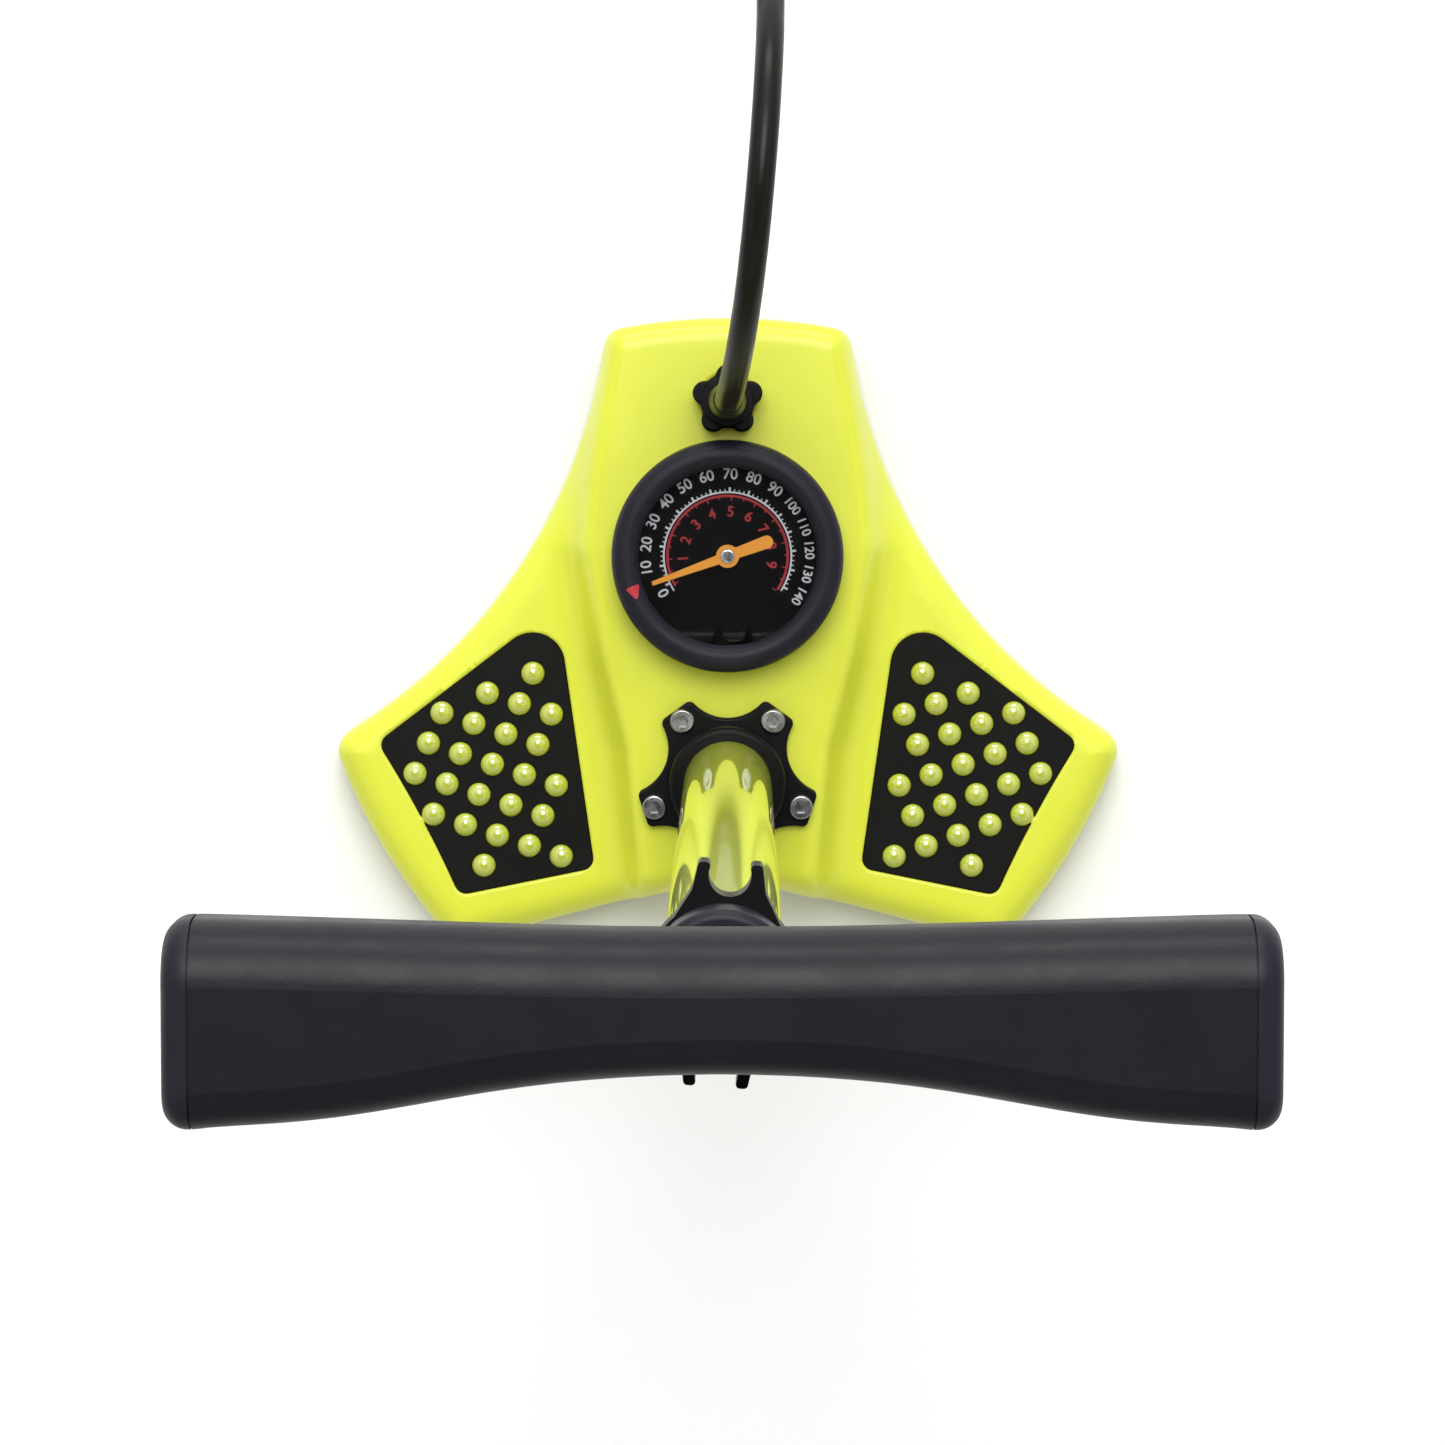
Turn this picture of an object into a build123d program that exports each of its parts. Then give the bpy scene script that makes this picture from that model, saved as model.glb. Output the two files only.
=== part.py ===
from build123d import *
import math
import os

# A hand-worked floor pump with a gauge, held down by the feet on two tread pads.
# Millimetres.  X runs across the pads, +Y towards the gauge and the hose, +Z up.
# The origin is on the floor under the middle of the base.

# ---------------------------------------------------------------- driving dimensions
BARREL_Y = -49.9                 # barrel axis
GAUGE_Y = BARREL_Y + 77.7        # gauge axis
PORT_Y = BARREL_Y + 130.4        # hose port axis

RIM_Z = 2.5                      # lower rim of the base shell
LOBE_Z = 30.0                    # top of the two foot lobes
PLATEAU_Z = 48.0                 # top of the raised middle
PLATEAU_TAPER = 20.0             # slope of the raised middle's sides, degrees from upright
WALL = 3.4                       # base shell wall
COVER_T = 2.5                    # bottom cover
PAD_RECESS = 1.5                 # pocket under each tread pad
PAD_T = 1.8                      # tread pad thickness
STUD_R = 4.1                     # tread stud radius
STUD_TOP = 2.3                   # stud height over the lobe's top

BARREL_R = 15.0
BARREL_BORE = 13.5
BARREL_LOW = 30.0
BARREL_TOP = 577.0
CAP_TOP = 585.0
SEAT = 0.05                      # radial clearance of a press-in or running fit
GAP = 0.3                        # clearance between pieces that move past each other

ROD_R = 5.0
HANDLE_Z = 630.0                 # centre of the grip
HANDLE_HALF = 125.4              # half the grip's length over its end caps
HANDLE_SEAM = 118.7              # where each end cap starts
SEAM_GROOVE = 0.5                # width of the groove between the grip and each cap
CORE_R = 11.0                    # tube inside the grip
CORE_Z = 628.0

FLANGE_T = 4.0
FLANGE_SCREW_R = 26.3            # pitch circle radius of the flange screws
FLANGE_ANGLES = [54 + 72 * i for i in range(5)]

CASE_R = 35.5                    # gauge case
CASE_LOW = 41.0
CASE_TOP = 62.0
DIAL_Z = 56.0                    # dial's upper face
SECTOR_PIVOT_R = 22.5            # gauge sector gear's pivot, from the gauge axis
SECTOR_PIVOT_ANGLE = 225.0
GEAR_MODULE = 0.5
PINION_TEETH = 10
SECTOR_TEETH = 80                # of the full circle that the sector is cut from

HOSE_R = 4.5
HOSE_EXIT_Z = 72.0
COIL_X, COIL_Y = 55.5, 300.0
COIL_R = 49.5                    # the coil's first turn
HEAD_ANGLE = 155.0               # direction in which the hose runs into the pump head
HEAD_Z = 12.2
HEAD_X, HEAD_Y = -80.63, 285.21

# The hose's route through the air, from the port over the front edge and down to the coil.
HOSE_ROUTE = [
    (0.0, PORT_Y, HOSE_EXIT_Z), (0.0, PORT_Y, 100.0), (1.8, 86.3, 133.5), (5.2, 103.3, 161.0),
    (8.4, 127.0, 180.0), (11.2, 156.5, 186.0), (13.2, 185.5, 177.0), (14.0, 208.5, 153.5),
    (13.6, 222.5, 121.5), (12.2, 230.5, 86.0), (10.2, 240.0, 53.0), (8.0, 258.0, 28.5),
    (6.4, 284.0, 15.4), (6.0, 308.0, 13.6)]
# Its last stretch, from the coil to the pump head.
HOSE_END_ROUTE = [
    (55.5, 241.3, 4.6), (29.0, 241.8, 4.6), (4.0, 246.5, 5.6), (-23.0, 258.3, 12.2), (-48.0, 270.0, 12.2)]


def from_barrel(x, y):
    return (x, y + BARREL_Y)


def ring(r_out, r_in, low, high, x=0.0, y=0.0):
    solid = Pos(x, y, low) * Cylinder(r_out, high - low, align=(Align.CENTER, Align.CENTER, Align.MIN))
    return solid - rod(r_in, low - 1, high + 1, x, y)


def rod(r, low, high, x=0.0, y=0.0):
    return Pos(x, y, low) * Cylinder(r, high - low, align=(Align.CENTER, Align.CENTER, Align.MIN))


def hexagon(across, low, high, x=0.0, y=0.0):
    sketch = Pos(x, y, low) * RegularPolygon(across / math.sqrt(3), 6)
    return extrude(sketch, high - low)


def on_circle(radius, angle, x=0.0, y=0.0):
    return (x + radius * math.cos(math.radians(angle)), y + radius * math.sin(math.radians(angle)))


def mirrored_x(points):
    return [(-x, y) for x, y in reversed(points)]


def export(name, shape):
    export_step(shape, "parts/" + name + ".step")


# ---------------------------------------------------------------- base
def base_outline(inset=0.0):
    """Three-lobed plan of the base: a front lobe and two foot lobes, joined by hollow curves."""
    front_mid, front = from_barrel(0, 158.2), from_barrel(41.9, 153.8)
    flank, outer = from_barrel(70.7, 75.0), from_barrel(137.2, 11.8)
    lobe_end, lower = from_barrel(119.6, -25.9), from_barrel(95.0, -59.4)
    back, back_mid = from_barrel(23.5, -40.2), from_barrel(0, -37.1)
    left = {p: (-p[0], p[1]) for p in (front, flank, outer, lobe_end, lower, back)}
    with BuildLine() as edge:
        ThreePointArc(left[front], front_mid, front)
        ThreePointArc(front, flank, outer)
        ThreePointArc(outer, lobe_end, lower)
        Line(lower, back)
        ThreePointArc(back, back_mid, left[back])
        Line(left[back], left[lower])
        ThreePointArc(left[lower], left[lobe_end], left[outer])
        ThreePointArc(left[outer], left[flank], left[front])
    face = make_face(edge.line)
    sharp = [front, outer, lower]
    corners = [v for v in face.vertices()
               if min(math.dist((abs(v.X), v.Y), p) for p in sharp) < 0.1]
    face = fillet(corners, 8)
    if not inset:
        return face
    half = offset(face, -inset) & (Pos(200, 0) * Rectangle(400, 800))
    return half + mirror(half, Plane.YZ)


def plateau_outline(inset=0.0):
    right = [from_barrel(*p) for p in ((36, 175), (46, 105), (48.5, 80), (42, 43), (34, 11), (28, -50))]
    right = [(x - inset, y) for x, y in right]
    face = make_face(Polyline(*right, *mirrored_x(right), close=True))
    return fillet([v for v in face.vertices() if abs(v.Y - GAUGE_Y) < 5], 30)


def base_block(inset, edges_rounded):
    outline = base_outline(inset)
    lobes = extrude(outline, LOBE_Z - inset)
    plateau = Pos(0, 0, PLATEAU_Z - inset) * extrude(
        plateau_outline(inset), PLATEAU_Z - inset, dir=(0, 0, -1), taper=-PLATEAU_TAPER)
    plateau = plateau & extrude(outline, PLATEAU_Z)
    if edges_rounded:
        lobes = fillet(lobes.faces().sort_by(Axis.Z)[-1].edges(), 10)
        plateau = fillet(plateau.faces().sort_by(Axis.Z)[-1].edges(), 6)
    return lobes + plateau


def stud_places():
    """Twenty-four studs on the left pad, on a skewed grid."""
    first, along, down = (-103.5, 11.8), (11.05, -3.65), (-4.7, -10.5)
    rows = {-3: [2], -2: range(1, 4), -1: range(0, 4), 0: range(0, 5), 1: range(0, 5),
            2: range(1, 6), 3: [3]}
    return [from_barrel(first[0] + i * along[0] + j * down[0], first[1] + i * along[1] + j * down[1])
            for j, columns in rows.items() for i in columns]


def pad_outline(grow=0.0):
    top, peak = from_barrel(-121.0, 12.0), from_barrel(-59.1, 59.1)
    inner, low = from_barrel(-46.2, -31.5), from_barrel(-93.0, -41.0)
    hollow = from_barrel(-105.2, -15.5)
    with BuildLine() as edge:
        Line(top, peak)
        Line(peak, inner)
        Line(inner, low)
        ThreePointArc(low, hollow, top)
    face = make_face(edge.line)
    face = fillet([v for v in face.vertices() if math.dist((v.X, v.Y), peak) < 1], 11)
    face = fillet([v for v in face.vertices()
                   if min(math.dist((v.X, v.Y), p) for p in (top, inner, low)) < 1], 4)
    return offset(face, grow) if grow else face


COVER_SCREWS = [from_barrel(*p) for p in (
    (-118, 2), (118, 2), (-58, 28), (58, 28), (-34, 140), (34, 140), (-62, -38), (62, -38))]
FEET = {"foot_left": from_barrel(-94, -34), "foot_right": from_barrel(94, -34),
        "foot_front": from_barrel(0, 140)}


def base_shell():
    shell = base_block(0.0, True) - base_block(WALL, False)
    shell = shell - Pos(0, 0, RIM_Z / 2) * Box(400, 400, RIM_Z)
    cover_top = RIM_Z + COVER_T
    outer = base_block(0.0, True)
    for x, y in COVER_SCREWS:
        shell = shell + (rod(4.6, cover_top, PLATEAU_Z, x, y) & outer)
    for angle in FLANGE_ANGLES:
        x, y = on_circle(FLANGE_SCREW_R, angle, 0, BARREL_Y)
        shell = shell + rod(5.4, 33, PLATEAU_Z - 1, x, y)
        shell = shell - rod(2.55, 33, PLATEAU_Z + 1, x, y)
    for x, y in COVER_SCREWS:
        shell = shell - rod(1.65, cover_top - 1, 18, x, y)
    shell = shell - rod(18.6, 20, PLATEAU_Z + 1, 0, BARREL_Y)
    shell = shell - rod(CASE_R + GAP, 20, PLATEAU_Z + 1, 0, GAUGE_Y)
    shell = shell - rod(9.3, 20, PLATEAU_Z + 1, 0, PORT_Y)
    pocket = Pos(0, 0, LOBE_Z - PAD_RECESS) * extrude(pad_outline(0.15), 5)
    shell = shell - pocket - mirror(pocket, Plane.YZ)
    return shell + base_studs()


def base_studs():
    """Domed studs that stand up through the tread pads, moulded with the shell."""
    cap_r = (STUD_R ** 2 + STUD_TOP ** 2) / (2 * STUD_TOP)
    studs = []
    for x, y in stud_places():
        dome = Pos(x, y, LOBE_Z + STUD_TOP - cap_r) * Sphere(cap_r)
        stud = dome & rod(STUD_R, LOBE_Z - PAD_RECESS - 0.5, LOBE_Z + 5, x, y)
        studs.append(stud + rod(STUD_R, LOBE_Z - PAD_RECESS - 0.5, LOBE_Z, x, y))
    studs = studs + [mirror(s, Plane.YZ) for s in studs]
    return studs


def foot_pad():
    pad = Pos(0, 0, LOBE_Z - PAD_RECESS) * extrude(pad_outline(), PAD_T)
    pad = chamfer(pad.faces().sort_by(Axis.Z)[-1].edges(), 0.4)
    for x, y in stud_places():
        pad = pad - rod(STUD_R + 0.15, LOBE_Z - 4, LOBE_Z + 4, x, y)
    return pad


def base_cover():
    cover = Pos(0, 0, RIM_Z) * extrude(base_outline(WALL + 0.2), COVER_T)
    for x, y in COVER_SCREWS:
        cover = cover - rod(1.9, 0, 10, x, y)
    for x, y in FEET.values():
        cover = cover - rod(3.05, 0, 10, x, y)
    return cover


def cover_screws():
    screws = []
    for x, y in COVER_SCREWS:
        head = chamfer(rod(3.6, 0.7, RIM_Z, x, y).edges().sort_by(Axis.Z)[0], 0.5)
        slot = Pos(x, y, 0.9) * (Box(4.4, 0.9, 1.0) + Box(0.9, 4.4, 1.0))
        screws.append(head - slot + rod(1.6, RIM_Z, 16, x, y))
    return Compound(children=screws)


def rubber_foot(x, y):
    disc = rod(12.0, 0, RIM_Z, x, y)
    disc = fillet(disc.edges().sort_by(Axis.Z)[0], 1.0)
    return disc + rod(3.0, RIM_Z, RIM_Z + COVER_T, x, y)


# ---------------------------------------------------------------- air passages
CHANNEL_Z = 21.5                 # air channel from the check valve to the gauge and the hose port
SOCKET_Y = GAUGE_Y - 27.0        # gauge stem


def air_manifold():
    """Cup that seats the barrel, with a channel to the gauge stem and the hose port."""
    block = rod(18.4, 14, 46, 0, BARREL_Y)
    bar_length = PORT_Y + 9 - BARREL_Y
    block = block + Pos(0, BARREL_Y + bar_length / 2, CHANNEL_Z) * Box(14, bar_length, 14)
    block = block + rod(7.0, CHANNEL_Z, 35, 0, SOCKET_Y)
    block = block + rod(9.0, CHANNEL_Z, PLATEAU_Z, 0, PORT_Y)
    block = block - rod(BARREL_R + SEAT, 28, 47, 0, BARREL_Y)
    block = block - rod(6.0, 18, 30, 0, BARREL_Y)
    channel_length = PORT_Y - BARREL_Y
    channel = Pos(0, BARREL_Y + channel_length / 2, CHANNEL_Z) * Rot(90, 0, 0) * Cylinder(2, channel_length)
    block = block - channel
    block = block - rod(5.05, CHANNEL_Z, 36, 0, SOCKET_Y)
    return block - rod(6.05, CHANNEL_Z, PLATEAU_Z + 1, 0, PORT_Y)


def barrel_gasket():
    return ring(BARREL_R, 9.0, 28, BARREL_LOW, 0, BARREL_Y)


def check_valve_seat():
    seat = ring(5.95, 2.5, 25, 28, 0, BARREL_Y)
    return seat + ring(8.5, 2.5, 28, 29, 0, BARREL_Y)


def check_valve_disc():
    disc = rod(5.2, 23.2, 25 - GAP, 0, BARREL_Y)
    return disc + rod(1.6, 21.6, 23.2, 0, BARREL_Y)


def check_valve_spring():
    helix = Helix(pitch=1.2, height=4.4, radius=3.4)
    wire = sweep(Plane(helix @ 0, z_dir=helix % 0) * Circle(0.3), path=helix)
    return Pos(0, BARREL_Y, 18.4) * wire


# ---------------------------------------------------------------- barrel
def barrel_tube():
    return ring(BARREL_R, BARREL_BORE, BARREL_LOW, BARREL_TOP, 0, BARREL_Y)


def barrel_flange():
    """Clamp plate with five flat-ended lugs and a collar that grips the foot of the barrel."""
    lug_end, hollow_r, hollow_at = 30.4, 15.9, 38.0
    plate = Circle(lug_end + 3)
    for angle in FLANGE_ANGLES:
        plate = plate - Rot(0, 0, angle) * Pos(lug_end + 5, 0) * Rectangle(10, 60)
        plate = plate - Pos(*on_circle(hollow_at, angle + 36)) * Circle(hollow_r)
    plate = fillet(plate.vertices(), 2.2)
    for angle in FLANGE_ANGLES:
        plate = plate - Pos(*on_circle(FLANGE_SCREW_R, angle)) * Circle(2.6)
    plate = extrude(plate, FLANGE_T)
    outer_edges = [e for e in plate.faces().sort_by(Axis.Z)[-1].outer_wire().edges()]
    plate = fillet(outer_edges, 0.9)
    collar = rod(19.8, 0, 14)
    collar = fillet(collar.edges().sort_by(Axis.Z)[-1], 2.0)
    flange = plate + collar - rod(BARREL_R + SEAT, -1, 20)
    return Pos(0, BARREL_Y, PLATEAU_Z) * flange


def flange_screws():
    screws = []
    for angle in FLANGE_ANGLES:
        x, y = on_circle(FLANGE_SCREW_R, angle, 0, BARREL_Y)
        low = PLATEAU_Z + FLANGE_T
        head = rod(4.1, low, low + 3.4, x, y)
        head = fillet(head.edges().sort_by(Axis.Z)[-1], 0.7)
        head = head - hexagon(4.0, low + 1.0, low + 5, x, y)
        screws.append(head + rod(2.5, 36, low, x, y))
    return Compound(children=screws)


CLIP_LOW, CLIP_TOP = 559.0, 570.0
CLIP_TURN = -4.0                 # the clip is turned a little on the barrel
CLIP_REACH = 26.8                # ends of the prongs, from the barrel axis
CLIP_HOLE_Y = 24.0
CLIP_HOLE_R = 5.1


def hose_clip():
    """Collar with a C-shaped hose clip on each side."""
    profile = Circle(18.2)
    side = [(14.6, 8.0), (12.4, 13.5), (8.8, 20.0), (7.6, CLIP_REACH)]
    wing = make_face(Polyline(*side, *mirrored_x(side), close=True))
    wing = wing - Pos(0, CLIP_HOLE_Y) * Circle(CLIP_HOLE_R)
    wing = fillet([v for v in wing.vertices() if v.Y > CLIP_REACH - 0.1], 1.0)
    profile = profile + wing + mirror(wing, Plane.XZ)
    profile = profile - Circle(BARREL_R + SEAT)
    clip = extrude(profile, CLIP_TOP - CLIP_LOW)
    return Pos(0, BARREL_Y, CLIP_LOW) * Rot(0, 0, CLIP_TURN) * clip


def barrel_cap():
    cap = rod(17.5, 571.5, CAP_TOP, 0, BARREL_Y)
    cap = fillet(cap.edges().sort_by(Axis.Z)[-1], 2.5)
    cap = cap - rod(BARREL_R + SEAT, 571, BARREL_TOP, 0, BARREL_Y)
    cap = cap - rod(6.0, 570, CAP_TOP + 1, 0, BARREL_Y)
    return cap - rod(8.05, CAP_TOP - 3, CAP_TOP + 1, 0, BARREL_Y)


def guide_bush():
    return ring(BARREL_BORE - SEAT, ROD_R + SEAT, 559, BARREL_TOP, 0, BARREL_Y)


def rod_wiper():
    return ring(8.0, ROD_R + SEAT, CAP_TOP - 3, CAP_TOP - 0.2, 0, BARREL_Y)


# ---------------------------------------------------------------- plunger
def piston_head():
    head = rod(BARREL_BORE - GAP, 36, 50, 0, BARREL_Y)
    head = chamfer(head.edges().filter_by(GeomType.CIRCLE), 0.8)
    head = head - ring(20, 11.0, 41, 45, 0, BARREL_Y)
    return head - rod(ROD_R + SEAT, 30, 60, 0, BARREL_Y)


def piston_cup():
    return ring(BARREL_BORE - SEAT, 11.0, 41, 45, 0, BARREL_Y)


def piston_rod():
    body = rod(ROD_R, 31.5, CORE_Z - CORE_R - 0.1, 0, BARREL_Y)
    body = body + ring(7.5, 4.0, 50 + GAP, 54, 0, BARREL_Y)
    body = body - rod(3.8, 44, 590, 0, BARREL_Y)
    return body - rod(3.05, 598, 619, 0, BARREL_Y)


def piston_nut():
    return hexagon(13.0, 31.0, 36 - GAP, 0, BARREL_Y) - rod(ROD_R + 0.02, 30, 37, 0, BARREL_Y)


def rod_bumper():
    bumper = ring(9.5, ROD_R + 0.02, CAP_TOP + GAP, 597, 0, BARREL_Y)
    rims = bumper.edges().filter_by(GeomType.CIRCLE).filter_by(lambda e: e.radius > 9)
    return fillet(rims, 1.5)


# ---------------------------------------------------------------- handle
# Half-length stations of the grip: distance from the middle, front edge, back edge, height.
GRIP_STATIONS = [
    (0.0, 18.6, -13.7, 32.0), (30.5, 18.8, -15.0, 32.4), (57.0, 19.5, -18.4, 33.4),
    (84.0, 20.3, -22.9, 34.8), (104.0, 20.9, -24.8, 35.7), (HANDLE_SEAM, 21.2, -25.9, 36.2)]


def grip_section(x, front, back, height, shrink=0.0):
    """Rounded section: wide rounding at the front, a tighter one along the upper back edge."""
    front, back, top, low = front - shrink, back + shrink, height / 2 - shrink, -height / 2 + shrink
    r_front_top, r_back_top, r_back_low, r_front_low = 14.0, 9.0, 13.0, 14.5
    k = math.sqrt(0.5)
    with BuildLine() as edge:
        Line((back + r_back_top, top), (front - r_front_top, top))
        ThreePointArc((front - r_front_top, top),
                      (front - r_front_top * (1 - k), top - r_front_top * (1 - k)),
                      (front, top - r_front_top))
        Line((front, top - r_front_top), (front, low + r_front_low))
        ThreePointArc((front, low + r_front_low),
                      (front - r_front_low * (1 - k), low + r_front_low * (1 - k)),
                      (front - r_front_low, low))
        Line((front - r_front_low, low), (back + r_back_low, low))
        ThreePointArc((back + r_back_low, low),
                      (back + r_back_low * (1 - k), low + r_back_low * (1 - k)),
                      (back, low + r_back_low))
        Line((back, low + r_back_low), (back, top - r_back_top))
        ThreePointArc((back, top - r_back_top),
                      (back + r_back_top * (1 - k), top - r_back_top * (1 - k)),
                      (back + r_back_top, top))
    plane = Plane(origin=(x, BARREL_Y, HANDLE_Z), x_dir=(0, 1, 0), z_dir=(1, 0, 0))
    return plane * make_face(edge.line)


def handle_grip():
    stations = [(-x, f, b, h) for x, f, b, h in reversed(GRIP_STATIONS[1:])] + GRIP_STATIONS
    grip = loft([grip_section(*s) for s in stations])
    grip = grip - Pos(0, BARREL_Y, CORE_Z) * Rot(0, 90, 0) * Cylinder(CORE_R + SEAT, 300)
    return grip - rod(CORE_R + SEAT, 600, CORE_Z, 0, BARREL_Y)


def handle_core():
    core = Pos(0, BARREL_Y, CORE_Z) * Rot(0, 90, 0) * (
        Cylinder(CORE_R, 2 * HANDLE_SEAM) - Cylinder(CORE_R - 2, 2 * HANDLE_SEAM + 2))
    return core - rod(3.1, 610, CORE_Z, 0, BARREL_Y)


def handle_hub():
    hub = rod(CORE_R, 597, CORE_Z, 0, BARREL_Y)
    hub = hub + rod(12.4, 600, 611.5, 0, BARREL_Y)
    hub = chamfer(hub.edges().filter_by(GeomType.CIRCLE).filter_by(lambda e: e.radius > 12), 1.0)
    hub = hub - Pos(0, BARREL_Y, CORE_Z) * Rot(0, 90, 0) * Cylinder(CORE_R + SEAT, 60)
    hub = hub.solids().sort_by(SortBy.VOLUME)[-1]
    return hub - rod(ROD_R + 0.02, 590, 618, 0, BARREL_Y)


def handle_bolt():
    floor = CORE_Z - CORE_R + 2
    seat = floor + 1.8
    bolt = rod(3.0, 600, seat, 0, BARREL_Y) + rod(5.2, seat, seat + 3.4, 0, BARREL_Y)
    return bolt - hexagon(4.0, seat + 1.2, seat + 5, 0, BARREL_Y)


def handle_cap(side):
    seam, front, back, height = GRIP_STATIONS[-1]
    start = seam + SEAM_GROOVE
    cap = extrude(grip_section(start, front, back, height), HANDLE_HALF - start)
    outer = cap.faces().sort_by(Axis.X)[-1]
    cap = fillet(outer.edges(), 5.6)
    cap = cap + extrude(grip_section(seam, front, back, height, 0.7), SEAM_GROOVE)
    plug = Pos(HANDLE_SEAM - 6, BARREL_Y, CORE_Z) * Rot(0, 90, 0) * Cylinder(CORE_R - 2 - SEAT, 14)
    cap = cap + plug - Pos(HANDLE_SEAM - 8, BARREL_Y, CORE_Z) * Rot(0, 90, 0) * Cylinder(6, 14)
    return cap if side > 0 else mirror(cap, Plane.YZ)


# ---------------------------------------------------------------- gauge
def at_gauge(shape, z=0.0):
    return Pos(0, GAUGE_Y, z) * shape


def gauge_case():
    case = rod(CASE_R, CASE_LOW, CASE_TOP) - rod(33.0, CASE_LOW + 2.2, CASE_TOP + 1)
    case = case - rod(34.95, CASE_TOP - 2, CASE_TOP + 1)
    case = case + ring(33.2, 31.0, 53.0, DIAL_Z - 1)
    case = case - rod(5.05, CASE_LOW - 1, CASE_LOW + 5, 0, SOCKET_Y - GAUGE_Y)
    return at_gauge(case)


def gauge_dial():
    return at_gauge(ring(32.8, 1.6, DIAL_Z - 1, DIAL_Z))


def gauge_lens():
    lens = rod(34.9, CASE_TOP - 2, CASE_TOP)
    return at_gauge(chamfer(lens.edges().sort_by(Axis.Z)[-1], 0.3))


def bezel_ring():
    """Section of the turning ring, rounded on top, carried round the gauge axis."""
    inner, lip, outer = CASE_R + SEAT, 30.2, 39.3
    low, lip_low, lip_top, crown = PLATEAU_Z + 0.5, CASE_TOP + GAP, 63.6, 66.4
    with BuildLine() as edge:
        Polyline((inner, lip_low), (inner, low), (outer, low), (outer, 61.5))
        ThreePointArc((outer, 61.5), (38.0, 65.0), (34.6, crown))
        ThreePointArc((34.6, crown), (32.0, 65.8), (lip, lip_top))
        Polyline((lip, lip_top), (lip, lip_low), (inner, lip_low))
    return revolve(Plane.XZ * make_face(edge.line), Axis.Z)


def gauge_bezel():
    """Turning ring round the case, with a pocket for its marker."""
    return at_gauge(bezel_ring() - marker_shape(0.1))


def marker_shape(grow=0.0):
    """Triangle with rounded corners that points anticlockwise round the bezel."""
    inner, outer, back, tip = 30.9, 36.3, -2.2, 3.2
    wedge = make_face(Polyline((inner, back), (outer, back), ((inner + outer) / 2, tip), close=True))
    wedge = fillet(wedge.vertices(), 0.7)
    if grow:
        wedge = offset(wedge, grow)
    return Rot(0, 0, 200.7) * Pos(0, 0, 63.8 - grow) * extrude(wedge, 4.0)


def bezel_marker():
    """Marker let into the bezel, flush with its rounded top."""
    return at_gauge(marker_shape() & bezel_ring())


NEEDLE_REST = 200.0              # angle of the needle's tip at zero pressure


def gauge_needle():
    arm = make_face(Polyline((0, 1.7), (27.2, 0.7), (27.2, -0.7), (0, -1.7), close=True))
    tail = make_face(Polyline((0, 1.7), (-14.1, 2.2), (-14.1, -2.2), (0, -1.7), close=True))
    sketch = arm + tail + Pos(-14.1, 0) * Circle(2.2) + Circle(3.9)
    needle = extrude(sketch, 0.8) + rod(3.0, -0.9, 0.8)
    needle = needle - rod(0.9, -2, 2)
    return at_gauge(Pos(0, 0, 57.6) * Rot(0, 0, NEEDLE_REST) * needle)


def needle_pin():
    pin = rod(2.5, 58.4, 59.3)
    return at_gauge(fillet(pin.edges().sort_by(Axis.Z)[-1], 0.6))


def gear_outline(teeth, low_tooth, high_tooth, closed):
    """Trapezoid teeth with a little backlash; a sector is closed back to its hub."""
    pitch_r = GEAR_MODULE * teeth / 2
    tip_r, root_r = pitch_r + 0.38, pitch_r - 0.55
    step = 2 * math.pi / teeth
    half_tip, half_root = 0.19 / tip_r, 0.46 / root_r
    points = []
    for i in range(low_tooth, high_tooth + 1):
        middle = i * step
        corners = [(root_r, -half_root), (tip_r, -half_tip), (tip_r, half_tip), (root_r, half_root)]
        for radius, turn in corners:
            points.append((radius * math.cos(middle + turn), radius * math.sin(middle + turn)))
    if not closed:
        points.append((2.0 * math.cos(high_tooth * step + 1.2), 2.0 * math.sin(high_tooth * step + 1.2)))
        points.append((2.0 * math.cos(low_tooth * step - 1.2), 2.0 * math.sin(low_tooth * step - 1.2)))
    return make_face(Polyline(*points, close=True))


def gauge_pinion():
    """Pinion and arbor that carry the needle, with a tooth gap facing the sector."""
    gear = Rot(0, 0, SECTOR_PIVOT_ANGLE + 180 / PINION_TEETH) * gear_outline(
        PINION_TEETH, 0, PINION_TEETH - 1, True)
    pinion = Pos(0, 0, 47.0) * extrude(gear, 3.0)
    return at_gauge(pinion + rod(0.9, 44.2, 58.4))


def gauge_sector():
    """Toothed sector on its own arbor, with a tail for the link."""
    facing = SECTOR_PIVOT_ANGLE - 180
    sector = Rot(0, 0, facing) * gear_outline(SECTOR_TEETH, -9, 3, False)
    sector = Pos(0, 0, 47.6) * extrude(sector, 1.8)
    tail = Pos(0, 0, 47.6) * Rot(0, 0, 160) * Pos(3.8, 0, 0.9) * Box(8.0, 2.4, 1.8)
    sector = sector + tail + rod(2.4, 47.2, 50.4) + rod(1.1, 44.2, 52.6)
    x, y = on_circle(SECTOR_PIVOT_R, SECTOR_PIVOT_ANGLE)
    return at_gauge(Pos(x, y, 0) * sector)


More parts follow.
